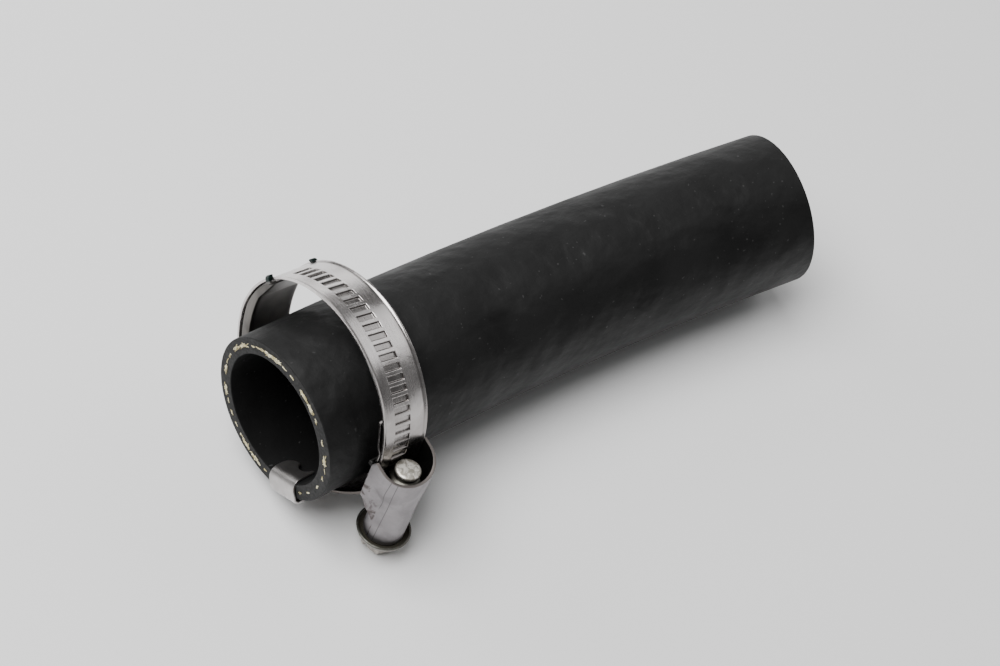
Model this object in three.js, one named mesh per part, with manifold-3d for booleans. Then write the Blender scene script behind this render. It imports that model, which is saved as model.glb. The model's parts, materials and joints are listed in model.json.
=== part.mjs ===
// Fuel filler hose: a short moulded rubber hose, with an opened worm-drive clamp held on one end by a spring
// clip. Millimetres. In the hose's own frame the clamp end's face is centred on the origin, +X runs into the
// hose and +Z is up. The whole is then laid on the ground as it comes to rest.

import * as THREE from 'three';
import { mergeVertices } from 'three/addons/utils/BufferGeometryUtils.js';
import Module from 'manifold-3d';

const wasm = await Module();
wasm.setup();

// Hose
const hoseBore = 32;
const hoseWall = 4;
const hoseLength = 149;
const bendRadius = 440;
const bendDirection = 170; // degrees about the hose, from +Y towards +Z

// Clamp band
const bandWidth = 12.5;
const bandThickness = 0.55;
const bandSlack = 10.6; // how much wider the open loop is than the hose
const bandSetback = 10.15; // hose end to the band's near edge
const bandLeanY = 2.7; // degrees that the loop's axis leans off the hose's, towards +Y and +Z
const bandLeanZ = -4.1;
const rimWidth = 0.8; // the turned-up edges of the band
const rimLift = 0.3;
const tailLength = 9.8; // of band past the screw's tip
const tongueReach = 27.8; // degrees that the fixed end's tongue runs back from the screw's tip
const tongueDip = 0.55; // how far the tongue sags on its way
const saddleEnd = 9.2; // where the saddle's straight run ends, along the screw from its tip
const rejoinAngle = 61; // degrees past the tip where the band is back on the loop
const leaveHandle = 1.5; // how soon the band turns down after the saddle
const arriveHandle = 5; // and how early it runs along the loop

// Pockets pressed into the band for the thread
const pocketSpan = 134; // degrees of the loop with pockets
const pocketMiddle = 5.6; // across the band from its near edge
const pocketLength = 4.5;
const pocketOpening = 1.65;
const pocketDraft = 0.27; // how much each side narrows to the floor
const pocketSheet = 0.3; // sheet left under the floor
const firstPocket = 1.5; // tail end to the first pocket

// Screw
const screwAngle = -151.7; // where on the loop the tip stands, degrees from +Y towards +Z
const threadRadius = 3.7;
const threadHeight = 0.9;
const threadPitch = 2.45;
const threadCrest = 0.7;
const threadRoot = 1.5;
const threadStart = 2;
const threadLength = 13.2;
const threadGrip = 0.25; // how deep the thread stands in the pockets
const tipRadius = 2.95;
const neckRadius = 3.5;
const flangeRadius = 6.55;
const flangeLip = 1.2; // how far the flange's rim reaches over the barrel
const flangeRim = 0.6;
const flangeThickness = 0.7;
const hexFlats = 8.6;
const cupGap = 0.6; // barrel's end to the flange's floor
const hexHeight = 3.6;
const hexChamfer = 0.5;
const hexTurn = 17; // degrees about the screw
const slotWidth = 1.2;
const slotDepth = 1.6;

// Housing, one folded sheet
const housingSheet = 0.7;
const barrelLength = 22.5; // screw tip to the barrel's end
const barrelStart = 15.4; // where the barrel closes under the screw
const barrelBore = 8.4;
const mouthStart = -3; // the side walls' ends beyond the screw tip
const mouthSetback = 3; // how much further back the crown starts
const mouthSkew = 0.5; // how much the far wall leads and the near wall trails
const mouthHem = 1.1; // the walls' lower corners are cut this high at the mouth
const flareStart = 3; // the hood narrows from here
const flareEnd = 10; // to the barrel's width here
const hemStart = 10.2; // the side walls' lower edges rise from here
const hemFoot = 0.35; // the hem over the saddle's underside
const hemTop = 0.25; // the hem's end below the screw's axis
const hoodEnd = 17.8;
const wallKnee = 1; // the walls stand straight this far above the band
const archBase = 2.1; // and at the mouth this far
const tabStart = -1.6;
const tabLength = 2.4;
const tabSheet = 0.5;
const tabReach = 4.4; // under the band from each side

// Spring insert between loop and hose
const insertThickness = 0.5;
const insertMiddle = 17.5; // degrees on the loop
const insertHalfSpan = 52.5;
const insertCrease = 30.5; // degrees either side of the middle where the ramps start
const creaseDrop = 1.7; // below the band's inside
const middleDrop = 2.8;
const flangeHeight = 2.4;
const insertInset = 0.15; // narrower than the band on each side
const lugSetback = 3; // degrees from each end of the insert to its hooks
const lugWidth = 0.9;
const lugThickness = 0.35;
const lugReach = 1.9; // over the band's outer face

// Retaining clip
const clipAngle = -89; // degrees about the hose
const clipWidth = 9;
const clipThickness = 0.5;
const clipStandOff = 0.35; // its front leg off the hose's end
const clipInnerLeg = 5.5;
const clipCorner = 1;
const clipReturn = 4.5; // its hook back under the band
const clipPlay = 0.5; // room left between clip, hose and band
const clipNotch = 2.4; // radius of the scoop in the inner leg's end
const clipNotchOffset = 1.6; // its centre off the leg's middle, towards the screw
const clipNotchDepth = 1.7;
const clipRound = 3; // the inner leg's rounded corner

const clearance = 0.25; // between pieces that touch or slide
const restSearch = 14; // degrees off straight down in which its low corners are looked for
const rubberDensity = 1.2; // grams in a cubic centimetre
const steelDensity = 7.85;

// Worked-out sizes
const degree = Math.PI / 180;
const hoseRadius = hoseBore / 2 + hoseWall;
const loopInner = hoseRadius + bandSlack / 2;
const loopOuter = loopInner + bandThickness;
const loopMiddle = loopInner + bandThickness / 2;
const seatGap = clipThickness + 2 * clearance + clipPlay;
const loopRise = bandSlack / 2 - seatGap;
const pocketDepth = threadGrip + clearance;
const bumpDepth = pocketDepth + pocketSheet - bandThickness;
const screwOut = loopOuter + threadRadius - threadGrip;
const saddleOuter = loopInner - bumpDepth - clearance;
const saddleMiddle = saddleOuter - bandThickness / 2;
const saddleInner = saddleOuter - bandThickness;
const barrelRadius = barrelBore / 2 + housingSheet;
const wallHalf = bandWidth / 2 + clearance + housingSheet;

// A point in the loop's plane by its angle and distance from the centre
function polar(angle, radius) {
  return new THREE.Vector2(Math.cos(angle * degree), Math.sin(angle * degree)).multiplyScalar(radius);
}

// A point in the loop's plane by its distance out and its distance along the screw from the tip
function besideScrew(out, along) {
  return polar(screwAngle, out).add(polar(screwAngle + 90, along));
}

// How far a value has come from one end to the other, between 0 and 1
function share(value, from, to) {
  return THREE.MathUtils.clamp((value - from) / (to - from), 0, 1);
}

function signedVolume(geometry) {
  const position = geometry.getAttribute('position');
  const index = geometry.index;
  const corner = [new THREE.Vector3(), new THREE.Vector3(), new THREE.Vector3()];
  let volume = 0;
  for (let i = 0; i < index.count; i += 3) {
    corner.forEach((point, k) => point.fromBufferAttribute(position, index.getX(i + k)));
    volume += corner[0].dot(corner[1].clone().cross(corner[2])) / 6;
  }
  return volume;
}

// Keeps positions only, merges shared corners and turns the faces outwards
function tidySkin(geometry) {
  const bare = geometry.clone();
  bare.deleteAttribute('normal');
  bare.deleteAttribute('uv');
  const merged = mergeVertices(bare, 1e-4);
  if (signedVolume(merged) < 0) {
    const index = merged.index.array;
    for (let i = 0; i < index.length; i += 3) {
      [index[i], index[i + 1]] = [index[i + 1], index[i]];
    }
  }
  return merged;
}

function toSolid(geometry) {
  const skin = tidySkin(geometry);
  const vertProperties = new Float32Array(skin.getAttribute('position').array);
  const triVerts = new Uint32Array(skin.index.array);
  return new wasm.Manifold(new wasm.Mesh({ numProp: 3, vertProperties, triVerts }));
}

function toGeometry(solid) {
  const mesh = solid.getMesh();
  const geometry = new THREE.BufferGeometry();
  geometry.setAttribute('position', new THREE.BufferAttribute(new Float32Array(mesh.vertProperties), 3));
  geometry.setIndex(new THREE.BufferAttribute(new Uint32Array(mesh.triVerts), 1));
  return geometry;
}

function unite(geometries) {
  return geometries.map(toSolid).reduce((whole, next) => whole.add(next));
}

// A closed skin over a row of matching outlines. Each outline is a list of points, and flat holds the first
// and last outlines in their own planes, for the end faces.
function loft(outlines, flat) {
  const count = outlines[0].length;
  const last = (outlines.length - 1) * count;
  const index = [];
  for (let row = 0; row < outlines.length - 1; row += 1) {
    for (let i = 0; i < count; i += 1) {
      const a = row * count + i;
      const b = row * count + ((i + 1) % count);
      index.push(a, b, b + count, a, b + count, a + count);
    }
  }
  THREE.ShapeUtils.triangulateShape(flat[0], []).forEach(([a, b, c]) => {
    index.push(...sameSense(flat[0], a, c, b));
  });
  THREE.ShapeUtils.triangulateShape(flat[1], []).forEach(([a, b, c]) => {
    index.push(...sameSense(flat[1], a, b, c).map((i) => i + last));
  });
  const geometry = new THREE.BufferGeometry();
  const points = outlines.flat().flatMap((point) => [point.x, point.y, point.z]);
  geometry.setAttribute('position', new THREE.Float32BufferAttribute(points, 3));
  geometry.setIndex(index);
  return geometry;
}

// Gives an end face's triangle the same sense whichever way round its outline was drawn
function sameSense(outline, a, b, c) {
  return THREE.ShapeUtils.area(outline) > 0 ? [a, b, c] : [a, c, b];
}

// A solid between a lower and an upper four-cornered outline
function block(lower, upper) {
  const flat = [[0, 0], [1, 0], [1, 1], [0, 1]].map(([x, y]) => new THREE.Vector2(x, y));
  return loft([lower, upper], [flat, flat]);
}

// The outline of a bent strip of even thickness along a path in its plane
function stripShape(path, thickness, steps) {
  const sides = [[], []];
  for (let i = 0; i <= steps; i += 1) {
    const point = path.getPointAt(i / steps);
    const along = path.getTangentAt(i / steps);
    const across = new THREE.Vector2(along.y, -along.x).multiplyScalar(thickness / 2);
    sides[0].push(point.clone().add(across));
    sides[1].unshift(point.clone().sub(across));
  }
  return new THREE.Shape(sides.flat());
}

// A path of straight runs through the given corners, each rounded to the given radius
function roundedPath(corners, radius) {
  const path = new THREE.Path();
  path.arcLengthDivisions = 400;
  path.moveTo(corners[0].x, corners[0].y);
  corners.slice(1, -1).forEach((corner, i) => {
    const before = corner.clone().sub(corners[i]).setLength(radius);
    const after = corners[i + 2].clone().sub(corner).setLength(radius);
    path.lineTo(corner.x - before.x, corner.y - before.y);
    path.quadraticCurveTo(corner.x, corner.y, corner.x + after.x, corner.y + after.y);
  });
  path.lineTo(corners.at(-1).x, corners.at(-1).y);
  return path;
}

function extruded(shape, depth, curveSegments = 12) {
  return new THREE.ExtrudeGeometry(shape, { depth, curveSegments, bevelEnabled: false });
}

function ringShape(outer, inner) {
  const shape = new THREE.Shape().absarc(0, 0, outer, 0, 2 * Math.PI, false);
  shape.holes.push(new THREE.Path().absarc(0, 0, inner, 0, 2 * Math.PI, true));
  return shape;
}

// The hose's centreline, an even bend from the clamp end
class HoseLine extends THREE.Curve {
  getPoint(t, target = new THREE.Vector3()) {
    const angle = (t * hoseLength) / bendRadius;
    const side = polar(bendDirection, bendRadius * (1 - Math.cos(angle)));
    return target.set(bendRadius * Math.sin(angle), side.x, side.y);
  }
}

function hose() {
  const section = ringShape(hoseRadius, hoseBore / 2);
  return new THREE.ExtrudeGeometry(section, { steps: 14, curveSegments: 24, extrudePath: new HoseLine() });
}

// The band's middle line: tongue, saddle under the screw, once round the loop, and the tail over the saddle
function bandLine() {
  const line = new THREE.Path();
  line.arcLengthDivisions = 1200;
  const tongueTip = polar(screwAngle - tongueReach, loopInner - clearance - rimLift - bandThickness / 2);
  const tongueSag = polar(screwAngle - tongueReach / 2, saddleMiddle - tongueDip);
  const saddleFirst = besideScrew(saddleMiddle, mouthStart);
  const saddleLast = besideScrew(saddleMiddle, saddleEnd);
  const rejoin = polar(screwAngle + rejoinAngle, loopMiddle);
  const leave = saddleLast.clone().add(polar(screwAngle + 90, leaveHandle));
  const arrive = rejoin.clone().sub(polar(screwAngle + rejoinAngle + 90, arriveHandle));
  const tailEnd = besideScrew(loopMiddle, tailLength);
  line.moveTo(tongueTip.x, tongueTip.y);
  line.splineThru([tongueSag, saddleFirst]);
  line.lineTo(saddleLast.x, saddleLast.y);
  line.bezierCurveTo(leave.x, leave.y, arrive.x, arrive.y, rejoin.x, rejoin.y);
  line.absarc(0, 0, loopMiddle, (screwAngle + rejoinAngle) * degree, (screwAngle + 360) * degree, false);
  line.lineTo(tailEnd.x, tailEnd.y);
  return line;
}

// Place and directions on the band at a distance along its middle line
function bandFrame(line, distance) {
  const u = THREE.MathUtils.clamp(distance / line.getLength(), 0, 1);
  const point = line.getPointAt(u);
  const along = line.getTangentAt(u);
  return { point, along, out: new THREE.Vector2(along.y, -along.x) };
}

// A four-cornered outline at a height over the band's middle line, turned by the thread's slant
function pocketOutline(frame, height, halfLength, halfWidth) {
  const slant = Math.atan(threadPitch / (2 * Math.PI * threadRadius));
  return [[-1, -1], [1, -1], [1, 1], [-1, 1]].map(([i, j]) => {
    const across = i * halfLength * Math.cos(slant) - j * halfWidth * Math.sin(slant);
    const along = i * halfLength * Math.sin(slant) + j * halfWidth * Math.cos(slant);
    const flat = frame.point.clone().addScaledVector(frame.along, along).addScaledVector(frame.out, height);
    return new THREE.Vector3(flat.x, flat.y, pocketMiddle + across);
  });
}

function clampBand() {
  const line = bandLine();
  const length = line.getLength();
  const half = bandThickness / 2;
  const section = [
    [0, half + rimLift], [rimWidth, half], [bandWidth - rimWidth, half], [bandWidth, half + rimLift],
    [bandWidth, rimLift - half], [bandWidth - rimWidth, -half], [rimWidth, -half], [0, rimLift - half],
  ].map(([across, height]) => new THREE.Vector2(across, height));
  const steps = 140;
  const outlines = Array.from({ length: steps + 1 }, (_, i) => {
    const frame = bandFrame(line, (length * i) / steps);
    return section.map(({ x, y }) => {
      const flat = frame.point.clone().addScaledVector(frame.out, y);
      return new THREE.Vector3(flat.x, flat.y, x);
    });
  });
  const pocketRun = tailLength + loopMiddle * pocketSpan * degree - firstPocket;
  const pocketCount = Math.floor(pocketRun / threadPitch) + 1;
  const bumps = [];
  const hollows = [];
  for (let i = 0; i < pocketCount; i += 1) {
    const frame = bandFrame(line, length - firstPocket - i * threadPitch);
    const floor = half - pocketDepth;
    const halfLength = pocketLength / 2;
    const halfOpening = pocketOpening / 2;
    const lap = 0.2;
    bumps.push(block(
      pocketOutline(frame, floor - pocketSheet, halfLength, halfOpening),
      pocketOutline(frame, lap - half, halfLength + pocketDraft, halfOpening + pocketDraft),
    ));
    hollows.push(block(
      pocketOutline(frame, floor, halfLength - pocketDraft, halfOpening - pocketDraft),
      pocketOutline(frame, half + lap, halfLength, halfOpening),
    ));
  }
  return toGeometry(unite([loft(outlines, [section, section]), ...bumps]).subtract(unite(hollows)));
}

// The insert's middle line: a ramp down from the band, a flatter arc and a ramp back
function insertLine() {
  const endRadius = loopInner - clearance - insertThickness / 2;
  const [start, end] = [-1, 1].map((side) => polar(insertMiddle + side * insertHalfSpan, endRadius));
  const [first, second] = [-1, 1].map((side) => polar(insertMiddle + side * insertCrease, loopInner - creaseDrop));
  const middle = loopInner - middleDrop;
  const halfChord = first.distanceTo(second) / 2;
  const rise = middle - (loopInner - creaseDrop) * Math.cos(insertCrease * degree);
  const radius = (halfChord ** 2 + rise ** 2) / (2 * rise);
  const centre = polar(insertMiddle, middle - radius);
  const sweep = Math.asin(halfChord / radius);
  const facing = insertMiddle * degree;
  const line = new THREE.Path();
  line.arcLengthDivisions = 600;
  line.moveTo(start.x, start.y);
  line.lineTo(first.x, first.y);
  line.absarc(centre.x, centre.y, radius, facing - sweep, facing + sweep, false);
  line.lineTo(end.x, end.y);
  return line;
}

// A hook from the insert's edge round the band's edge and on to its outer face
function lug(angle, side) {
  const root = loopInner - clearance - insertThickness / 2;
  const beside = -clearance - lugThickness / 2;
  const over = loopOuter + rimLift + clearance + lugThickness / 2;
  const corners = [[1, root], [beside, root], [beside, over], [lugReach - clearance, over - 0.1]];
  const path = roundedPath(corners.map(([x, y]) => new THREE.Vector2(x, y)), 0.45);
  const hook = extruded(stripShape(path, lugThickness, 26), lugWidth);
  const out = polar(angle, 1);
  const basis = new THREE.Matrix4().makeBasis(
    new THREE.Vector3(0, 0, side),
    new THREE.Vector3(out.x, out.y, 0),
    new THREE.Vector3(-out.y, out.x, 0),
  );
  hook.translate(0, 0, -lugWidth / 2);
  hook.applyMatrix4(basis);
  return hook.translate(0, 0, side > 0 ? 0 : bandWidth);
}

function springInsert() {
  const line = insertLine();
  const half = insertThickness / 2;
  const steps = 40;
  const near = insertInset;
  const far = bandWidth - insertInset;
  const rows = Array.from({ length: steps + 1 }, (_, i) => {
    const frame = bandFrame(line, (line.getLength() * i) / steps);
    const room = loopInner - clearance - frame.point.length() + half;
    const top = THREE.MathUtils.clamp(room, insertThickness + 0.02, flangeHeight) - half;
    const section = [
      [near, -half], [far, -half], [far, top], [far - insertThickness, top],
      [far - insertThickness, half], [near + insertThickness, half], [near + insertThickness, top], [near, top],
    ].map(([across, height]) => new THREE.Vector2(across, height));
    const outline = section.map(({ x, y }) => {
      const flat = frame.point.clone().addScaledVector(frame.out, y);
      return new THREE.Vector3(flat.x, flat.y, x);
    });
    return { section, outline };
  });
  const channel = loft(rows.map((row) => row.outline), [rows[0].section, rows.at(-1).section]);
  const lugTurn = insertHalfSpan - lugSetback;
  const lugs = [-1, 1].flatMap((end) => [1, -1].map((side) => lug(insertMiddle + end * lugTurn, side)));
  return toGeometry(unite([channel, ...lugs]));
}

// Half the hood's section at a distance along the screw, from the wall's hem up to the crown. The inset is 0
// for the outer face and the sheet's thickness for the inner one.
function hoodHalf(along, inset) {
  const narrowing = THREE.MathUtils.smoothstep(along, flareStart, flareEnd);
  const halfWidth = THREE.MathUtils.lerp(wallHalf, barrelRadius, narrowing) - inset;
  const base = THREE.MathUtils.lerp(loopOuter + archBase, screwOut, narrowing);
  const crown = screwOut + barrelRadius - inset;
  const knee = loopOuter + wallKnee;
  const wall = wallHalf - inset;
  const rising = Math.sqrt(share(along, hemStart, hoodEnd));
  const cut = mouthHem * (1 - share(along, mouthStart, tabStart));
  const hem = THREE.MathUtils.lerp(saddleInner + hemFoot, screwOut - hemTop, rising) + cut;
  const bend = Math.max(knee, hem + 0.1);
  const widthAt = (out) => THREE.MathUtils.lerp(wall, halfWidth, share(out, knee, base));
  const points = [new THREE.Vector2(widthAt(hem), hem), new THREE.Vector2(widthAt(bend), bend)];
  const arcSteps = 8;
  for (let i = 0; i <= arcSteps; i += 1) {
    const angle = (i / arcSteps) * 90 * degree;
    points.push(new THREE.Vector2(halfWidth * Math.cos(angle), base + (crown - base) * Math.sin(angle)));
  }
  return points;
}

function hoodSection(along) {
  const outer = hoodHalf(along, 0);
  const inner = hoodHalf(along, housingSheet);
  const arch = (half) => {
    const otherSide = half.slice(0, -1).reverse();
    return [...half.map(({ x, y }) => new THREE.Vector2(-x, y)), ...otherSide];
  };
  return [...arch(outer), ...arch(inner).reverse()];
}

// Placed with X out from the loop's centre, Y along the screw from its tip and Z across the band
function clampHousing() {
  const crown = screwOut + barrelRadius;
  const mouth = [mouthStart, tabStart, (tabStart + flareStart) / 2];
  const flare = [0, 0.25, 0.5, 0.75].map((part) => THREE.MathUtils.lerp(flareStart, flareEnd, part));
  const wing = [0, 0.28, 0.52, 0.76, 1].map((part) => THREE.MathUtils.lerp(hemStart, hoodEnd, part));
  const stations = [...mouth, ...flare, ...wing];
  const sections = stations.map(hoodSection);
  const outlines = stations.map((along, i) => {
    const fade = 1 - share(along, mouthStart, flareStart);
    return sections[i].map(({ x, y }) => {
      const setback = mouthSetback * ((y - saddleInner) / (crown - saddleInner)) - mouthSkew * (x / wallHalf);
      return new THREE.Vector3(y, along + setback * fade, bandWidth / 2 + x);
    });
  });
  const hood = loft(outlines, [sections[0], sections.at(-1)]);
  const barrel = extruded(ringShape(barrelRadius + 0.04, barrelBore / 2 - 0.04), barrelLength - barrelStart);
  barrel.rotateX(-90 * degree).translate(screwOut, barrelStart, bandWidth / 2);
  const tabs = [-1, 1].flatMap((side) => {
    const foot = saddleInner - clearance - tabSheet;
    const top = saddleOuter + 0.3;
    const under = new THREE.BoxGeometry(tabSheet, tabLength, tabReach);
    under.translate(foot + tabSheet / 2, tabStart + tabLength / 2, side * (wallHalf - tabReach / 2));
    const wall = new THREE.BoxGeometry(top - foot, tabLength, housingSheet - 0.05);
    wall.translate((top + foot) / 2, tabStart + tabLength / 2, side * (wallHalf - housingSheet / 2 - 0.01));
    return [under, wall].map((box) => box.translate(0, 0, bandWidth / 2));
  });
  return toGeometry(unite([hood, barrel, ...tabs]));
}

// The worm's ridge: a trapezoid carried round and along the screw. A crest faces the band over each pocket.
function threadRidge() {
  const turnSteps = 20;
  const coreRadius = threadRadius - threadHeight;
  const root = coreRadius - 0.3;
  const rootHalf = (threadRoot / 2) * 1.2;
  const crestHalf = threadCrest / 2;
  const section = [[root, -rootHalf], [threadRadius, -crestHalf], [threadRadius, crestHalf], [root, rootHalf]];
  const steps = Math.round((threadLength / threadPitch) * turnSteps);
  const phase = (tailLength - firstPocket) / threadPitch;
  const outlines = Array.from({ length: steps + 1 }, (_, i) => {
    const along = threadStart + (threadLength * i) / steps;
    const angle = 2 * Math.PI * (along / threadPitch - phase);
    return section.map(([radius, offset]) => {
      return new THREE.Vector3(-radius * Math.cos(angle), along + offset, radius * Math.sin(angle));
    });
  });
  const flat = section.map(([x, y]) => new THREE.Vector2(x, y));
  return loft(outlines, [flat, flat]);
}

// Turned about Y from its tip at the origin
function wormScrew() {
  const coreRadius = threadRadius - threadHeight;
  const neckStart = threadStart + threadLength + 0.6;
  const cupFloor = barrelLength + cupGap;
  const flangeBack = cupFloor + flangeThickness;
  const hexCorner = hexFlats / Math.sqrt(3);
  const headEnd = flangeBack + hexHeight;
  const lip = cupFloor - flangeLip;
  const rimInside = flangeRadius - flangeRim;
  const profile = [
    [0, 0], [tipRadius - 0.5, 0], [tipRadius, 0.4], [tipRadius, 1.1],
    [coreRadius, 1.4], [coreRadius, neckStart - 0.4], [neckRadius, neckStart], [neckRadius, cupFloor],
    [rimInside, cupFloor], [rimInside, lip + 0.2], [rimInside + 0.2, lip], [flangeRadius - 0.15, lip],
    [flangeRadius, lip + 0.2], [flangeRadius, flangeBack - 0.3], [flangeRadius - 0.3, flangeBack],
    [hexCorner + 0.3, flangeBack + 0.25], [hexCorner - 0.7, flangeBack + 1], [0, flangeBack + 1],
  ].map(([radius, along]) => new THREE.Vector2(radius, along));
  const hex = [
    [0, flangeBack], [hexCorner, flangeBack], [hexCorner, headEnd - hexChamfer],
    [hexCorner - hexChamfer, headEnd], [0, headEnd],
  ].map(([radius, along]) => new THREE.Vector2(radius, along));
  const slot = new THREE.BoxGeometry(slotWidth, slotDepth, 4 * hexFlats);
  slot.translate(0, headEnd - slotDepth / 2 + 0.01, 0);
  const shank = new THREE.LatheGeometry(profile, 32);
  const head = new THREE.LatheGeometry(hex, 6, hexTurn * degree);
  return toGeometry(unite([shank, head, threadRidge()]).subtract(toSolid(slot)));
}

// Bent from strip in a plane with X along the hose and Y out from the hose's axis
function retainingClip() {
  const half = clipThickness / 2;
  const front = -clipStandOff - half;
  const flatRoom = Math.sqrt((hoseBore / 2) ** 2 - (clipWidth / 2) ** 2);
  const innerLeg = flatRoom - clearance - half;
  const outerLeg = hoseRadius + clearance + half;
  const leanDrop = bandWidth * Math.tan(Math.abs(bandLeanZ) * degree);
  const returnLeg = hoseRadius + seatGap + bandThickness + rimLift + leanDrop + clearance + half;
  const hookEnd = bandSetback + bandWidth + rimLift + 3 * clearance + half;
  const corners = [
    [clipInnerLeg, innerLeg], [front, innerLeg], [front, outerLeg],
    [hookEnd, outerLeg], [hookEnd, returnLeg], [hookEnd - clipReturn, returnLeg],
  ];
  const path = roundedPath(corners.map(([x, y]) => new THREE.Vector2(x, y)), clipCorner * 0.95);
  const strip = extruded(stripShape(path, clipThickness, 90), clipWidth);
  strip.translate(0, 0, -clipWidth / 2);
  const notch = new THREE.CylinderGeometry(clipNotch, clipNotch, 4 * clipThickness, 24);
  notch.translate(clipInnerLeg + clipNotch - clipNotchDepth, innerLeg, -clipNotchOffset);
  const round = new THREE.Shape().moveTo(1, 1).lineTo(1, -clipRound).lineTo(0, -clipRound);
  round.absarc(-clipRound, -clipRound, clipRound, 0, Math.PI / 2, false).lineTo(-clipRound, 1);
  const corner = extruded(round, 4 * clipThickness).rotateX(90 * degree);
  corner.translate(clipInnerLeg, innerLeg + 2 * clipThickness, clipWidth / 2);
  return toGeometry(toSolid(strip).subtract(unite([notch, corner])));
}

function material(color, roughness, metalness) {
  return new THREE.MeshStandardMaterial({ color, roughness, metalness });
}

function piece(name, geometry, finish, density) {
  const skin = tidySkin(geometry);
  skin.computeVertexNormals();
  const mesh = new THREE.Mesh(skin, finish);
  mesh.name = name;
  mesh.userData.density = density;
  return mesh;
}

// The loop's frame on the hose: X and Y in the loop's plane, Z along its axis from the near edge
function placeLoop(group) {
  const line = new HoseLine();
  const at = bandSetback / hoseLength;
  const rise = polar(clipAngle + 180, loopRise);
  const axis = line.getTangentAt(at);
  axis.add(new THREE.Vector3(0, Math.tan(bandLeanY * degree), Math.tan(bandLeanZ * degree))).normalize();
  const up = new THREE.Vector3(0, 0, 1);
  const second = up.addScaledVector(axis, -up.dot(axis)).normalize();
  const first = second.clone().cross(axis);
  group.quaternion.setFromRotationMatrix(new THREE.Matrix4().makeBasis(first, second, axis));
  group.position.copy(line.getPointAt(at)).add(new THREE.Vector3(0, rise.x, rise.y));
}

// Mass and mass centre of every piece together, in the assembly's frame
function massCentre(meshes) {
  const sum = new THREE.Vector3();
  let mass = 0;
  meshes.forEach((mesh) => {
    const position = mesh.geometry.getAttribute('position');
    const index = mesh.geometry.index;
    for (let i = 0; i < index.count; i += 3) {
      const [a, b, c] = [0, 1, 2].map((k) => {
        return new THREE.Vector3().fromBufferAttribute(position, index.getX(i + k)).applyMatrix4(mesh.matrixWorld);
      });
      const weight = (a.dot(b.clone().cross(c)) / 6) * mesh.userData.density;
      sum.addScaledVector(a.add(b).add(c), weight / 4);
      mass += weight;
    }
  });
  return sum.divideScalar(mass);
}

// The lowest corners as seen along a cone of directions about the given one
function lowCorners(points, down, spread) {
  const side = new THREE.Vector3(1, 0, 0).cross(down).normalize();
  const corners = new Set();
  for (let tilt = 0; tilt <= spread; tilt += 1) {
    for (let turn = 0; turn < 360; turn += tilt ? 10 : 360) {
      const toward = down.clone().applyAxisAngle(side, tilt * degree).applyAxisAngle(down, turn * degree);
      corners.add(points.reduce((low, point) => (point.dot(toward) > low.dot(toward) ? point : low)));
    }
  }
  return [...corners];
}

// The way down when the part lies on the three corners that carry its mass centre best
function restDirection(corners, centre, down) {
  let best = { share: -Infinity, way: down };
  corners.forEach((a, i) => corners.slice(i + 1).forEach((b, j) => corners.slice(i + j + 2).forEach((c) => {
    const way = b.clone().sub(a).cross(c.clone().sub(a));
    if (way.length() < 1) return;
    way.normalize().multiplyScalar(Math.sign(way.dot(down)));
    if (corners.some((point) => point.clone().sub(a).dot(way) > 0.001)) return;
    const foot = centre.clone().addScaledVector(way, a.clone().sub(centre).dot(way));
    const inside = new THREE.Vector3();
    THREE.Triangle.getBarycoord(foot, a, b, c, inside);
    const share = Math.min(inside.x, inside.y, inside.z);
    if (share > best.share) best = { share, way };
  })));
  return best.way;
}

// Lays the assembly down on the ground, the hose along +X, centred over the origin
function layDown(assembly) {
  assembly.updateMatrixWorld(true);
  const meshes = [];
  assembly.traverse((node) => node.isMesh && meshes.push(node));
  const points = meshes.flatMap((mesh) => {
    const position = mesh.geometry.getAttribute('position');
    return Array.from({ length: position.count }, (_, i) => {
      return new THREE.Vector3().fromBufferAttribute(position, i).applyMatrix4(mesh.matrixWorld);
    });
  });
  // the screw's head, the loop and the hose's far end reach lowest this way
  const down = new THREE.Vector3(0.14, 0.556, -0.831).normalize();
  const way = restDirection(lowCorners(points, down, restSearch), massCentre(meshes), down);
  assembly.quaternion.setFromUnitVectors(way, new THREE.Vector3(0, 0, -1));
  const heading = new HoseLine().getPointAt(1).applyQuaternion(assembly.quaternion);
  assembly.rotateOnWorldAxis(new THREE.Vector3(0, 0, 1), -Math.atan2(heading.y, heading.x));
  assembly.updateMatrixWorld(true);
  const box = new THREE.Box3().setFromObject(assembly, true);
  const middle = box.getCenter(new THREE.Vector3());
  assembly.position.set(-middle.x, -middle.y, -box.min.z);
}

const rubber = material(0x2b2b2c, 0.62, 0);
const bandSteel = material(0xb9b5b2, 0.32, 0.9);
const insertSteel = material(0x8f8d8a, 0.4, 0.9);
const housingSteel = material(0x9b9797, 0.42, 0.85);
const screwSteel = material(0xb4b09f, 0.36, 0.9);
const clipSteel = material(0xb3aeac, 0.38, 0.85);

const housing = new THREE.Group();
housing.rotation.z = screwAngle * degree;
housing.add(piece('clamp_housing', clampHousing(), housingSteel, steelDensity));
const screw = piece('worm_screw', wormScrew(), screwSteel, steelDensity);
screw.position.set(screwOut, 0, bandWidth / 2);
housing.add(screw);

const clamp = new THREE.Group();
placeLoop(clamp);
clamp.add(piece('clamp_band', clampBand(), bandSteel, steelDensity));
clamp.add(piece('spring_insert', springInsert(), insertSteel, steelDensity));
clamp.add(housing);

const clip = piece('retaining_clip', retainingClip(), clipSteel, steelDensity);
const clipOut = polar(clipAngle, 1);
clip.quaternion.setFromRotationMatrix(new THREE.Matrix4().makeBasis(
  new THREE.Vector3(1, 0, 0),
  new THREE.Vector3(0, clipOut.x, clipOut.y),
  new THREE.Vector3(0, -clipOut.y, clipOut.x),
));

const assembly = new THREE.Group();
assembly.add(piece('hose', hose(), rubber, rubberDensity));
assembly.add(clamp);
assembly.add(clip);
layDown(assembly);

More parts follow.
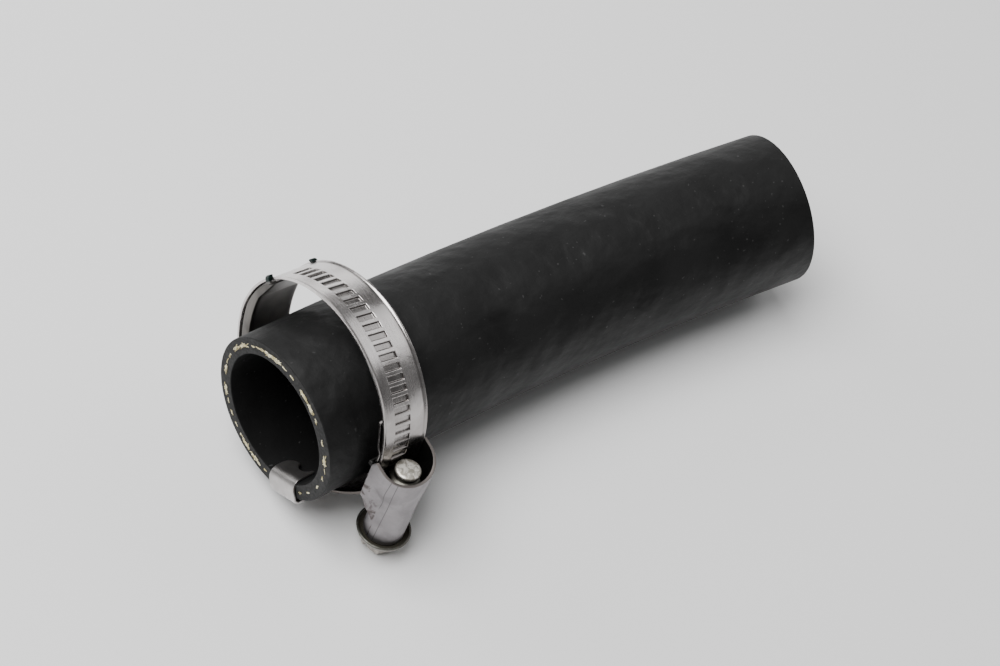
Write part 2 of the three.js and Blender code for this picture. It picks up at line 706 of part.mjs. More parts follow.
const fuelFillerHose = new THREE.Group();
fuelFillerHose.add(assembly);

export default fuelFillerHose;
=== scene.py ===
import bisect
import json
import math
import random

import bpy
from mathutils import Matrix, Vector


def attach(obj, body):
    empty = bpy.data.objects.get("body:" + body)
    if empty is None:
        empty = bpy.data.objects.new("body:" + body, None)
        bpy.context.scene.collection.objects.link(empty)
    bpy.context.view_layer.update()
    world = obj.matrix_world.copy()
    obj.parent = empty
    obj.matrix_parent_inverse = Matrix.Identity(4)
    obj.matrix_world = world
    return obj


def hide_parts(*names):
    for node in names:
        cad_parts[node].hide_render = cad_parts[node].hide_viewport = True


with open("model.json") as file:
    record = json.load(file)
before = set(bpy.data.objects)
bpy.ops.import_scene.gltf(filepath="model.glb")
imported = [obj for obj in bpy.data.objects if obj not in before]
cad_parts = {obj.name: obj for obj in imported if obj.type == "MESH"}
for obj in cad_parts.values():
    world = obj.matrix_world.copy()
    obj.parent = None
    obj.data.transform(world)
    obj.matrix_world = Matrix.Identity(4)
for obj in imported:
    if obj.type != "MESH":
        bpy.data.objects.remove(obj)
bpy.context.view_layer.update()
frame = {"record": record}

# Camera
# It looks down on the clamp end from one side, as the photograph does. Its place and directions are given
# from the middle of the hose's clamp end, with X along the hose and Z the way that is up in the photograph.
mounts = {mount["name"]: mount for mount in frame["record"]["mounts"]}
hose_along = -Vector(mounts["clamp_end"]["axis"]).normalized()
plain_along = Vector(mounts["plain_end"]["axis"]).normalized()
bend_direction = 170
bend_side = (plain_along - hose_along * plain_along.dot(hose_along)).normalized()


def hose_side(angle):
    """A direction square to the hose at its clamp end, in degrees round from its left towards its top."""
    return Matrix.Rotation(math.radians(angle - bend_direction), 3, hose_along) @ bend_side


def placed(x, y, z, origin):
    """A placing matrix from three directions and a point."""
    return Matrix.Translation(origin) @ Matrix((x, y, z)).transposed().to_4x4()


mount_radius = 0.018
mount_angle = -100
hose_start = Vector(mounts["clamp_end"]["pos_m"]) - mount_radius * hose_side(mount_angle)
hose_frame = placed(hose_along, hose_side(0), hose_side(90), hose_start)

camera_right = Vector((0.72163, -0.68689, -0.08623))
camera_up = Vector((0.38145, 0.29058, 0.87753))
camera_spot = Vector((-0.160824, -0.264848, 0.179729))
camera_frame = placed(camera_right, camera_up, camera_right.cross(camera_up), camera_spot)
bpy.ops.object.camera_add()
camera = bpy.context.object
camera.matrix_world = hose_frame @ camera_frame
camera.data.lens = 57.27
camera.data.clip_start = 0.01
camera.data.clip_end = 20
bpy.context.scene.camera = camera


# Floor and lights
# A pale floor under a plain studio. One broad light hangs over the part, one stands behind it and one past
# the plain end, and a small one gives the clip's bend its bright edge. The room round them is dim.
class Value:
    """What comes out of a shader node, which takes part in sums as a number does."""

    def __init__(self, finish, socket):
        self.finish = finish
        self.socket = socket

    def sum(self, operation, first, second):
        return self.finish.node("ShaderNodeMath", {"operation": operation}, {0: first, 1: second})

    def __add__(self, other):
        return self.sum("ADD", self, other)

    def __sub__(self, other):
        return self.sum("SUBTRACT", self, other)

    def __rsub__(self, other):
        return self.sum("SUBTRACT", other, self)

    def __mul__(self, other):
        return self.sum("MULTIPLY", self, other)

    __radd__ = __add__
    __rmul__ = __mul__


class Finish:
    """A material and the nodes that it is made of."""

    def __init__(self, name, metallic=0.0, **plain):
        self.material = bpy.data.materials.new(name)
        self.material.use_nodes = True
        self.nodes = self.material.node_tree.nodes
        self.links = self.material.node_tree.links
        self.shader = self.nodes["Principled BSDF"]
        self.set("Metallic", metallic)
        for socket, value in plain.items():
            self.set(socket.replace("_", " "), value)

    def node(self, kind, settings, sockets, output=0):
        node = self.nodes.new(kind)
        for name, setting in settings.items():
            setattr(node, name, setting)
        for name, value in sockets.items():
            self.feed(node.inputs[name], value)
        return Value(self, node.outputs[output])

    def feed(self, socket, value):
        if isinstance(value, Value):
            self.links.new(value.socket, socket)
        else:
            socket.default_value = value

    def set(self, socket, value):
        self.feed(self.shader.inputs[socket], value)

    def place(self):
        return self.node("ShaderNodeTexCoord", {}, {}, "Object")

    def marked(self, name):
        """What an attribute of the mesh says at each of its points."""
        return self.node("ShaderNodeAttribute", {"attribute_name": name}, {}, "Fac")

    def strip(self, stretch):
        """Place on the flat strip, along and across, drawn out by the given amounts."""
        flat = self.node("ShaderNodeUVMap", {"uv_map": "strip"}, {})
        return self.node("ShaderNodeVectorMath", {"operation": "MULTIPLY"}, {0: flat, 1: stretch})

    def axis(self, vector, number):
        return self.node("ShaderNodeSeparateXYZ", {}, {0: vector}, number)

    def noise(self, vector, scale, detail=3.0, roughness=0.5, distortion=0.0):
        grain = {"Scale": scale, "Detail": detail, "Roughness": roughness, "Distortion": distortion}
        return self.node("ShaderNodeTexNoise", {}, {"Vector": vector, **grain})

    def ramp(self, value, low, high):
        """0 below low and 1 above high, with a smooth step between."""
        settings = {"interpolation_type": "SMOOTHSTEP"}
        return self.node("ShaderNodeMapRange", settings, {"Value": value, "From Min": low, "From Max": high})

    def mix(self, factor, first, second):
        return self.node("ShaderNodeMix", {"data_type": "RGBA"}, {0: factor, 6: first, 7: second}, 2)

    def bump(self, height, distance, strength=1.0):
        self.set("Normal", self.node(
            "ShaderNodeBump", {}, {"Height": height, "Distance": distance, "Strength": strength}
        ))


def grey(level):
    return (level, level, level, 1)


floor_width = 12
room_brightness = 0.15
lit_point = hose_frame @ Vector((0.05, 0, 0))

bpy.ops.mesh.primitive_plane_add(size=floor_width)
floor = bpy.context.object
floor.name = "floor"
floor_finish = Finish("pale_floor", Roughness=0.7)
floor_finish.set("Base Color", grey(0.9))
floor.data.materials.append(floor_finish.material)

world = bpy.data.worlds.new("pale_room")
bpy.context.scene.world = world
world.use_nodes = True
world.node_tree.nodes["Background"].inputs["Color"].default_value = grey(0.95)
world.node_tree.nodes["Background"].inputs["Strength"].default_value = room_brightness


def soft_light(name, spot, size, power):
    """An area light at a place near the part, facing the clamp."""
    bpy.ops.object.light_add(type="AREA")
    light = bpy.context.object
    light.name = name
    light.data.shape = "RECTANGLE"
    light.data.size, light.data.size_y = size
    light.data.energy = power
    facing = (Vector(spot) - lit_point).to_track_quat("Z", "Y")
    light.matrix_world = Matrix.Translation(spot) @ facing.to_matrix().to_4x4()


soft_light("window_light", (-0.33, 0.2, 0.95), (0.9, 0.7), 17)
soft_light("back_light", (0.85, 1.3, 0.35), (1.6, 0.6), 5)
soft_light("side_light", (0.85, -0.05, 0.75), (0.9, 0.5), 1.9)
soft_light("edge_light", (-0.4, 0.75, 0.55), (0.3, 0.3), 1.2)

# Hose
# Moulded from black rubber over a yarn ply, with an even bend. Both ends are cut off square after moulding,
# which shows the yarn in the wall.
hose_length = 0.149
bend_radius = 0.44
hose_radius = 0.020
bore_radius = 0.016
edge_round = 0.00028
wall_cuts = 7
length_cuts = 79
hose_facets = 144
same_place = 1e-6


def select_edges(mesh, wanted):
    """Selects only the edges that a test on their two ends picks."""
    bpy.ops.object.mode_set(mode="OBJECT")
    for group in (mesh.vertices, mesh.edges, mesh.polygons):
        for element in group:
            element.select = False
    for edge in mesh.edges:
        ends = [mesh.vertices[i].co for i in edge.vertices]
        edge.select = wanted(*ends)
    bpy.ops.object.mode_set(mode="EDIT")
    bpy.ops.mesh.select_mode(type="EDGE")


def spin_round(facets, axis, seam):
    """Spins the outline in edit mode once round an axis through the origin, and closes the seam."""
    bpy.ops.mesh.select_all(action="SELECT")
    bpy.ops.mesh.spin(steps=facets, angle=2 * math.pi, center=(0, 0, 0), axis=axis)
    bpy.ops.mesh.select_all(action="SELECT")
    bpy.ops.mesh.remove_doubles(threshold=seam)
    bpy.ops.mesh.normals_make_consistent(inside=False)
    bpy.ops.object.mode_set(mode="OBJECT")


def on_hose(point):
    """Bends a point of the straight hose, which lies along X, to where it is on the real one."""
    turn = point.x / bend_radius
    side = math.radians(bend_direction)
    toward = Vector((0, math.cos(side), math.sin(side)))
    across = Vector((0, -toward.z, toward.y))
    middle = Vector((bend_radius * math.sin(turn), 0, 0))
    middle += toward * bend_radius * (1 - math.cos(turn))
    inward = toward * math.cos(turn) - Vector((math.sin(turn), 0, 0))
    return hose_frame @ (middle + inward * point.dot(toward) + across * point.dot(across))


bpy.ops.object.select_all(action="DESELECT")
wall_middle = (hose_radius + bore_radius) / 2
bpy.ops.mesh.primitive_plane_add(size=1, location=(hose_length / 2, wall_middle, 0))
hose = bpy.context.object
hose.name = "rubber_hose"
hose.scale = (hose_length, hose_radius - bore_radius, 1)
bpy.ops.object.transform_apply()
bpy.ops.object.mode_set(mode="EDIT")
bpy.ops.mesh.delete(type="ONLY_FACE")
select_edges(hose.data, lambda a, b: abs(a.x - b.x) < same_place)
bpy.ops.mesh.subdivide(number_cuts=wall_cuts)
select_edges(hose.data, lambda a, b: abs(a.x - b.x) > hose_length / 2)
bpy.ops.mesh.subdivide(number_cuts=length_cuts)
bpy.ops.object.mode_set(mode="OBJECT")
for vertex in hose.data.vertices:
    radius = vertex.co.y
    end_depth = min(vertex.co.x, hose_length - vertex.co.x)
    wall_depth = min(radius - bore_radius, hose_radius - radius)
    vertex.select = max(end_depth, wall_depth) < same_place
bpy.ops.object.mode_set(mode="EDIT")
bpy.ops.mesh.select_mode(type="VERT")
bpy.ops.mesh.bevel(offset=edge_round, segments=3, affect="VERTICES")
spin_round(hose_facets, (1, 0, 0), same_place)
cut = hose.data.attributes.new("cut_face", "FLOAT", "POINT")
bore = hose.data.attributes.new("bore", "FLOAT", "POINT")
for vertex, mark, inside in zip(hose.data.vertices, cut.data, bore.data):
    mark.value = float(min(vertex.co.x, hose_length - vertex.co.x) < 10 * same_place)
    inside.value = float(math.hypot(vertex.co.y, vertex.co.z) < bore_radius + edge_round / 2)
for vertex in hose.data.vertices:
    vertex.co = on_hose(vertex.co)
bpy.ops.object.shade_smooth_by_angle(angle=math.radians(40))

rubber = Finish("black_rubber", Specular_IOR_Level=0.25)
place = rubber.place()
cut_mask = rubber.ramp(rubber.marked("cut_face"), 0.45, 0.55)
cloud = rubber.noise(place, 55, detail=2)
grain = rubber.noise(place, 1400, detail=2)
dents = rubber.noise(place, 150, detail=2)
waves = rubber.noise(place, 60, detail=2)
dust = rubber.ramp(rubber.noise(place, 1300, detail=0), 0.8, 0.84) * (1 - cut_mask)
bore_shade_mask = rubber.marked("bore")
skin_color = rubber.mix(rubber.ramp(cloud, 0.3, 0.7), grey(0.0035), grey(0.007))
# Inside the bore the rubber is painted nearly black, as painted shade; the bore is also made rougher.
skin_color = rubber.mix(bore_shade_mask, skin_color, grey(0.0008))
saw_color = rubber.mix(rubber.ramp(grain, 0.3, 0.7), grey(0.018), grey(0.035))
rubber.set("Base Color", rubber.mix(dust, rubber.mix(cut_mask, skin_color, saw_color), grey(0.03)))
rubber.set("Roughness", 0.52 + rubber.ramp(cloud, 0.3, 0.7) * 0.1 + cut_mask * 0.2 + bore_shade_mask * 0.3)
rubber.bump(waves * 3.6 + dents * 1.4 + grain * 0.1, 0.0006, 0.85)
hose.data.materials.append(rubber.material)
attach(hose, "hose_and_clamp")
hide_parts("hose")

# Yarn ends
# Cream yarn of the hose's ply, cut through with the hose. Short fibres stand a little out of the cut face.
random.seed(32)
yarn_radius = 0.018
fibre_radius = 0.0001
large_tufts = (
    (57, 9), (68, 6), (97, 6), (108, 7), (142, 6), (151, 5),
    (-167, 6), (24, 6), (5, 5), (-41, 7), (-54, 6),
)
small_tufts = (80, 87, 116, 125, 160, 177, -150, -137, -120, -108, -90, -66, -33, -24, -14, -5, 34, 42)
large_tuft_fibres = 24
small_tuft_fibres = 5
yarn_dim = (0.5, 0.43, 0.22, 1)
yarn_bright = (0.85, 0.8, 0.58, 1)


def fibre(angle, radius, length, turn, lift):
    """One cut fibre lying in the end face, lifted by a little."""
    bpy.ops.mesh.primitive_cylinder_add(vertices=6, radius=fibre_radius, depth=length)
    strand = bpy.context.object
    bpy.ops.object.mode_set(mode="EDIT")
    bpy.ops.mesh.bevel(offset=fibre_radius * 0.5, segments=1)
    bpy.ops.object.mode_set(mode="OBJECT")
    lie = Matrix.Rotation(math.radians(angle + turn), 4, "X")
    way = math.radians(angle)
    spot = Vector((-lift, radius * math.cos(way), radius * math.sin(way)))
    strand.data.transform(hose_frame @ Matrix.Translation(spot) @ lie)
    return strand


def join_to_first(pieces):
    bpy.ops.object.select_all(action="DESELECT")
    for piece in pieces:
        piece.select_set(True)
    bpy.context.view_layer.objects.active = pieces[0]
    bpy.ops.object.join()
    return pieces[0]


strands = []
for angle, spread in large_tufts:
    for _ in range(large_tuft_fibres):
        strands.append(fibre(
            angle + random.gauss(0, spread) * 0.4,
            yarn_radius + random.gauss(0, 0.00022),
            random.uniform(0.0006, 0.0016),
            random.gauss(0, 20),
            random.uniform(0.00002, 0.00016),
        ))
for angle in small_tufts:
    for _ in range(small_tuft_fibres):
        strands.append(fibre(
            angle + random.uniform(-1.6, 1.6),
            yarn_radius + random.gauss(0, 0.00008),
            random.uniform(0.0005, 0.0011),
            random.gauss(0, 14),
            random.uniform(0, 0.00008),
        ))
yarn = join_to_first(strands)
yarn.name = "yarn_ends"
bpy.ops.object.shade_smooth_by_angle(angle=math.radians(50))

cotton = Finish("cream_yarn", Roughness=0.85)
tint = cotton.noise(cotton.place(), 900)
cotton.set("Base Color", cotton.mix(cotton.ramp(tint, 0.35, 0.65), yarn_dim, yarn_bright))
yarn.data.materials.append(cotton.material)
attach(yarn, "hose_and_clamp")

# Clamp band
# One strip of bright steel with turned-up edges. Its tongue and saddle lie under the screw, it runs once
# round the loop, and its tail, pressed with slanting pockets for the thread, lies over the saddle.
band_width = 0.0125
band_thickness = 0.00055
band_slack = 0.0106
band_setback = 0.01015
band_lean = (2.7, -4.1)
seat_gap = 0.0015
clip_angle = -89
screw_angle = -151.7
saddle_drop = 0.00105
loop_inner = hose_radius + band_slack / 2
loop_middle = loop_inner + band_thickness / 2
loop_outer = loop_inner + band_thickness
saddle_middle = loop_middle - saddle_drop
tail_length = 0.0098
tongue_reach = 27.8
tongue_dip = 0.00055
saddle_start = -0.003
saddle_end = 0.0092
rejoin_angle = 61
saddle_lead = 0.002
saddle_leave = 0.0015
rejoin_lead = 0.005
rim_width = 0.0008
rim_lift = 0.0003
band_bevel = 0.00008
clearance = 0.00025
uv_per_metre = 10

band_at = band_setback / bend_radius
bend_y = math.cos(math.radians(bend_direction))
bend_z = math.sin(math.radians(bend_direction))
loop_axis = Vector((math.cos(band_at), bend_y * math.sin(band_at), bend_z * math.sin(band_at)))
loop_axis += Vector((0, math.tan(math.radians(band_lean[0])), math.tan(math.radians(band_lean[1]))))
loop_axis.normalize()
loop_up = (Vector((0, 0, 1)) - loop_axis * loop_axis.z).normalized()
rise = band_slack / 2 - seat_gap
rise_angle = math.radians(clip_angle + 180)
loop_centre = hose_frame.inverted() @ on_hose(Vector((band_setback, 0, 0)))
loop_centre += Vector((0, rise * math.cos(rise_angle), rise * math.sin(rise_angle)))
loop_frame = hose_frame @ placed(loop_up.cross(loop_axis), loop_up, loop_axis, loop_centre)


def polar(angle, radius):
    return Vector((math.cos(math.radians(angle)), math.sin(math.radians(angle)))) * radius


def beside_screw(out, along):
    """A point in the loop's plane by its distance out and its distance along the screw from the tip."""
    return polar(screw_angle, out) + polar(screw_angle + 90, along)


def bezier(start, leave, arrive, end, steps):
    """Points of a free curve between two ends, the first end left out."""
    points = []
    for step in range(1, steps + 1):
        t = step / steps
        s = 1 - t
        points.append(start * s ** 3 + leave * 3 * s * s * t + arrive * 3 * s * t * t + end * t ** 3)
    return points


class BentLine:
    """The middle line of a bent strip in its plane, by the distance along it."""

    def __init__(self, points):
        self.points = points
        self.reach = [0.0]
        for before, after in zip(points, points[1:]):
            self.reach.append(self.reach[-1] + (after - before).length)
        self.along = []
        for i in range(len(points)):
            ends = points[max(i - 1, 0)], points[min(i + 1, len(points) - 1)]
            self.along.append((ends[1] - ends[0]).normalized())
        self.length = self.reach[-1]

    def at(self, distance):
        i = min(max(bisect.bisect_right(self.reach, distance) - 1, 0), len(self.points) - 2)
        part = (distance - self.reach[i]) / (self.reach[i + 1] - self.reach[i])
        along = self.along[i].lerp(self.along[i + 1], min(max(part, 0), 1)).normalized()
        return self.points[i].lerp(self.points[i + 1], part), along


def wrap(piece, line, lay):
    """Bends a flat strip, drawn along X with its width along Y, round a line, and lays it in place."""
    flat = piece.data.uv_layers.new(name="strip")
    for loop in piece.data.loops:
        spot = piece.data.vertices[loop.vertex_index].co
        flat.data[loop.index].uv = (spot.x * uv_per_metre, spot.y * uv_per_metre)
    for vertex in piece.data.vertices:
        point, along = line.at(vertex.co.x)
        bent = point + Vector((along.y, -along.x)) * vertex.co.z
        vertex.co = lay @ Vector((bent.x, bent.y, vertex.co.y))


def spread(start, end, count):
    return [start + (end - start) * i / count for i in range(count + 1)]


def flat_grid(name, lengths, widths):
    """A flat strip with a line of points at each of the given lengths and widths."""
    bpy.ops.object.select_all(action="DESELECT")
    columns = len(lengths) - 1
    rows = len(widths) - 1
    bpy.ops.mesh.primitive_grid_add(x_subdivisions=columns, y_subdivisions=rows, size=2)
    sheet = bpy.context.object
    sheet.name = name
    for vertex in sheet.data.vertices:
        column = round((vertex.co.x + 1) / 2 * columns)
        row = round((vertex.co.y + 1) / 2 * rows)
        vertex.co = (lengths[column], widths[row], 0)
    return sheet


def apply_modifier(piece, kind, **settings):
    bpy.context.view_layer.objects.active = piece
    modifier = piece.modifiers.new(kind.title(), kind)
    for name, setting in settings.items():
        setattr(modifier, name, setting)
    bpy.ops.object.modifier_apply(modifier=modifier.name)


def arc(centre, radius, start, end, steps):
    return [centre + polar(angle, radius) for angle in spread(start, end, steps)]


tongue_tip = polar(screw_angle - tongue_reach, loop_inner - clearance - rim_lift - band_thickness / 2)
tongue_sag = polar(screw_angle - tongue_reach / 2, saddle_middle - tongue_dip)
saddle_first = beside_screw(saddle_middle, saddle_start)
saddle_last = beside_screw(saddle_middle, saddle_end)
rejoin = polar(screw_angle + rejoin_angle, loop_middle)
tongue_lead = (tongue_sag - tongue_tip) * 0.35
into_saddle = polar(screw_angle + 90, saddle_lead)
band_points = [tongue_tip]
band_points += bezier(tongue_tip, tongue_tip + tongue_lead, tongue_sag - tongue_lead, tongue_sag, 20)
band_points += bezier(tongue_sag, tongue_sag + tongue_lead, saddle_first - into_saddle, saddle_first, 12)
band_points += [saddle_first.lerp(saddle_last, part) for part in spread(0.05, 1, 19)]
band_points += bezier(
    saddle_last,
    saddle_last + polar(screw_angle + 90, saddle_leave),
    rejoin - polar(screw_angle + rejoin_angle + 90, rejoin_lead),
    rejoin,
    50,
)
band_points += arc(Vector((0, 0)), loop_middle, screw_angle + rejoin_angle, screw_angle + 360, 400)[1:]
band_points += [beside_screw(loop_middle, along) for along in spread(0.0002, tail_length, 40)]
band_line = BentLine(band_points)

pocket_span = 134
pocket_middle = 0.0056
pocket_length = 0.0045
pocket_opening = 0.00165
pocket_wall = 0.00024
pocket_depth = 0.0005
first_pocket = 0.0015
thread_pitch = 0.00245
thread_radius = 0.0037
slant = thread_pitch / (2 * math.pi * thread_radius)
edge_line = 0.00007
thread_grip = 0.00025
thread_start = 0.002
worm_overrun = 0.0008
worm_run = tail_length - thread_start + worm_overrun
trough_slope = 0.0005
trough_room = 0.00008
floor_line = 0.00018
floor_inset = 0.0008
rim_flat = 0.0001
lean_from_edge = (0.001, 0.003)
steady_start = 0.004
steady_end = 0.0009
foot_line = (0.0003, 0.0007, 0.0012)
rim_lines = (0, 0.0001, 0.0002, 0.00035, 0.0005, 0.00065, 0.0008, 0.001)
near_lines = (0.0013, 0.0019, 0.0026)
far_lines = (0.0038, 0.0029, 0.0021, 0.0014)
# Levels and spans of painted shade at the tail's end and along the band's first part.
tucked_shade_level = 0.45
tail_shade_span = (0.034, 0.014)
tongue_shade_span = (0.05, 0.08)
saddle_shade_span = (0.012, 0.022)
saddle_shade_level = 0.48
band_dim = (0.58, 0.55, 0.54, 1)
band_bright = (0.74, 0.71, 0.7, 1)
band_shade_color = (0.04, 0.03, 0.024, 1)

pocket_run = tail_length + loop_middle * math.radians(pocket_span) - first_pocket
pocket_count = int(pocket_run / thread_pitch) + 1
pockets = [band_line.length - first_pocket - i * thread_pitch for i in range(pocket_count)]
half_opening = pocket_opening / 2
half_length = pocket_length / 2
across_wall = (-edge_line, 0, edge_line, pocket_wall - edge_line, pocket_wall, pocket_wall + edge_line)
plain_end = pockets[-1] - thread_pitch / 2
band_lengths = spread(0, plain_end, 170)
for pocket in reversed(pockets):
    band_lengths += [pocket - half_opening + step for step in across_wall]
    band_lengths += [pocket - floor_line, pocket, pocket + floor_line]
    band_lengths += [pocket + half_opening - step for step in reversed(across_wall)]
    band_lengths += [min(pocket + thread_pitch / 2, band_line.length)]
band_lengths += spread(band_lengths[-1], band_line.length, 4)[1:]
pocket_near = pocket_middle - half_length
pocket_far = pocket_middle + half_length
band_widths = [*rim_lines, *near_lines]
band_widths += [pocket_near + step for step in across_wall]
band_widths += spread(pocket_near + floor_inset, pocket_far - floor_inset, 5)
band_widths += [pocket_far - step for step in reversed(across_wall)]
band_widths += [band_width - step for step in (*far_lines, *reversed(rim_lines))]


def part_way(value, low, high):
    """How far a value has come from low to high, between 0 and 1."""
    return min(max((value - low) / (high - low), 0), 1)


def smooth_step(value, low, high):
    part = part_way(value, low, high)
    return part * part * (3 - 2 * part)


def pocket_dip(along, across):
    """How far into its pocket a point is, 0 outside and 1 on the floor."""
    if along < plain_end:
        return 0
    nearest = min(abs(along - pocket) for pocket in pockets)
    edges = half_opening - nearest, half_length - abs(across - pocket_middle)
    return min(smooth_step(edge, 0, pocket_wall) for edge in edges)


worm_at = band_line.length - worm_run
steady_to = band_line.length - first_pocket + steady_end
band = flat_grid("clamp_strip", band_lengths, band_widths)
# Each point of the strip gets a mark of painted shade, set in the loop below.
shade = band.data.attributes.new("worn_dark", "FLOAT", "POINT")
for vertex in band.data.vertices:
    along, across = vertex.co.x, vertex.co.y
    from_edge = min(across, band_width - across)
    lift = rim_lift * (1 - smooth_step(from_edge, rim_flat, rim_width))
    lean = slant * (across - pocket_middle) * smooth_step(from_edge, *lean_from_edge)
    steady = smooth_step(along, plain_end - steady_start, plain_end)
    steady *= 1 - smooth_step(along, steady_to, band_line.length)
    dip = pocket_dip(along, across)
    trough = smooth_step(along, worm_at - trough_slope, worm_at)
    trough *= smooth_step(half_length - abs(across - pocket_middle), 0, pocket_wall)
    depth = max(pocket_depth * dip, (thread_grip + trough_room) * trough)
    # A line of painted shade just inside each turned rim, where the rim rises.
    rim_foot_shade = smooth_step(from_edge, *foot_line[:2]) - smooth_step(from_edge, *foot_line[1:])
    # Painted shade at the tail's end, which goes into the housing, and along the band's first part from the
    # tongue, past the saddle and round under the hose; it is darkest past the saddle.
    tucked_shade = tucked_shade_level * smooth_step(along, *(band_line.length - reach for reach in tail_shade_span))
    past_saddle = smooth_step(along, *saddle_shade_span)
    tucked_shade += (tucked_shade_level + saddle_shade_level * past_saddle) * (1 - smooth_step(along, *tongue_shade_span))
    # Painted shade on each pocket's walls, and lighter painted shade on its floor.
    pocket_outline_shade = dip * 0.4 + 4 * dip * (1 - dip) * 0.8
    shade.data[vertex.index].value = max(pocket_outline_shade, rim_foot_shade * 0.55, tucked_shade)
    vertex.co = (along + lean * steady, across, band_thickness / 2 + lift - depth)
apply_modifier(band, "SOLIDIFY", thickness=band_thickness, offset=-1, use_quality_normals=False)
apply_modifier(
    band, "BEVEL", width=band_bevel, segments=3, limit_method="ANGLE", angle_limit=math.radians(65)
)
wrap(band, band_line, loop_frame)
for polygon in band.data.polygons:
    polygon.use_smooth = True

bright_steel = Finish("bright_rolled_steel", metallic=1.0)
rolled = bright_steel.noise(bright_steel.strip((8, 420, 1)), 1.0, detail=4, roughness=0.6)
smears = bright_steel.noise(bright_steel.place(), 110, detail=3, distortion=0.9)
bare_color = bright_steel.mix(bright_steel.ramp(smears, 0.35, 0.65), band_dim, band_bright)
# This mark paints the steel dark brown where shade is painted: round the pockets, inside the turned rims,
# under the hose and in the housing.
worn_dark = bright_steel.marked("worn_dark")
bright_steel.set("Base Color", bright_steel.mix(worn_dark, bare_color, band_shade_color))
bright_steel.set("Roughness", 0.17 + rolled * 0.12 + bright_steel.ramp(smears, 0.4, 0.75) * 0.1)
bright_steel.bump(rolled * 0.35 + smears * 1.6, 0.0001, 0.7)
band.data.materials.append(bright_steel.material)
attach(band, "hose_and_clamp")
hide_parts("clamp_band")

# Spring insert
# A pressed channel strip of darker steel between loop and hose. It ramps down from the band at both ends, and
# its narrow sides stand up towards the band.
insert_thickness = 0.0005
insert_middle = 17.5
insert_half_span = 52.5
insert_crease = 30.5
crease_drop = 0.0017
middle_drop = 0.0028
flange_height = 0.0024
insert_inset = 0.00015
insert_wall = 0.0004
insert_bevel = 0.00006
corner = 0.0006
corner_lift = 0.00018
side_foot = 0.0006
least_side = 0.00005
on_corner = -0.1
on_floor = -0.2
insert_dim = (0.085, 0.08, 0.075, 1)
insert_bright = (0.16, 0.15, 0.14, 1)

insert_end = loop_inner - clearance - insert_thickness / 2
crease_radius = loop_inner - crease_drop
insert_ends = [polar(insert_middle + side * insert_half_span, insert_end) for side in (-1, 1)]
creases = [polar(insert_middle + side * insert_crease, crease_radius) for side in (-1, 1)]
half_chord = (creases[1] - creases[0]).length / 2
arc_rise = loop_inner - middle_drop - crease_radius * math.cos(math.radians(insert_crease))
arc_radius = (half_chord ** 2 + arc_rise ** 2) / (2 * arc_rise)
arc_centre = polar(insert_middle, loop_inner - middle_drop - arc_radius)
arc_turn = math.degrees(math.asin(half_chord / arc_radius))
insert_points = [insert_ends[0].lerp(creases[0], part) for part in spread(0, 0.98, 30)]
insert_points += arc(arc_centre, arc_radius, insert_middle - arc_turn, insert_middle + arc_turn, 120)
insert_points += [creases[1].lerp(insert_ends[1], part) for part in spread(0.02, 1, 30)]
insert_line = BentLine(insert_points)

bottom = insert_thickness / 2
section = [(insert_inset, share) for share in (1.0, 0.66, 0.33, 0)]
section += [(insert_inset + corner * 0.3, on_corner), (insert_inset + corner, on_floor)]
section += [(across, on_floor) for across in spread(insert_inset + 2 * corner, band_width / 2, 4)]
section += [(band_width - across, height) for across, height in reversed(section[:-1])]
rows = [float(i) for i in range(len(section))]
insert = flat_grid("channel_strip", spread(0, insert_line.length, 130), rows)
foot = side_foot - bottom
flat_part = {0: foot, on_corner: corner_lift - bottom, on_floor: -bottom}
for vertex in insert.data.vertices:
    across, height = section[round(vertex.co.y)]
    from_centre = insert_line.at(vertex.co.x)[0].length
    room = loop_inner - clearance - from_centre + bottom
    top = min(max(room, insert_thickness), flange_height) - bottom
    if height in flat_part:
        lift = min(flat_part[height], top)
    else:
        lift = foot + (max(top, foot + least_side) - foot) * height
    vertex.co = (vertex.co.x, across, lift)
apply_modifier(insert, "SOLIDIFY", thickness=insert_wall, offset=1)
apply_modifier(insert, "BEVEL", width=insert_bevel, segments=2, limit_method="ANGLE")
wrap(insert, insert_line, loop_frame)
bpy.ops.object.shade_smooth_by_angle(angle=math.radians(35))

dark_steel = Finish("dark_rolled_steel", metallic=1.0)
insert_streaks = dark_steel.noise(dark_steel.strip((6, 380, 1)), 1.0, detail=3)
insert_clouds = dark_steel.noise(dark_steel.place(), 160, detail=2)
insert_color = dark_steel.mix(dark_steel.ramp(insert_clouds, 0.3, 0.7), insert_dim, insert_bright)
dark_steel.set("Base Color", insert_color)
dark_steel.set("Roughness", 0.28 + insert_streaks * 0.16)
dark_steel.bump(insert_streaks * 0.5 + insert_clouds * 0.5, 0.00004, 0.5)
insert.data.materials.append(dark_steel.material)

# Insert's hooks
# Four narrow lugs, two near each end of the insert, that go round the band's edges on to its outer face.
lug_setback = 3
lug_angle = insert_half_span - lug_setback
lug_width = 0.0015
lug_thickness = 0.0007
lug_root = 0.001
lug_reach = 0.0006
lug_droop = 0.0002
lug_gap = 0.00005
lug_radii = (0.0006, 0.0007)
lug_bevel = 0.0003
green_length = 0.0018
lug_steel = (0.12, 0.115, 0.11, 1)
lug_green = (0.006, 0.016, 0.014, 1)


def rounded(corners, radii):
    """A line through the corners, each taken off by an arc of its radius."""
    points = [corners[0]]
    for before, at, after, radius in zip(corners, corners[1:], corners[2:], radii):
        start = at + (before - at).normalized() * radius
        end = at + (after - at).normalized() * radius
        points += [points[-1].lerp(start, part) for part in (0.3, 0.6, 0.9)]
        points += [start]
        points += bezier(start, start.lerp(at, 0.552), end.lerp(at, 0.552), end, 10)
    points += [points[-1].lerp(corners[-1], part) for part in (0.3, 0.6, 1)]
    return points


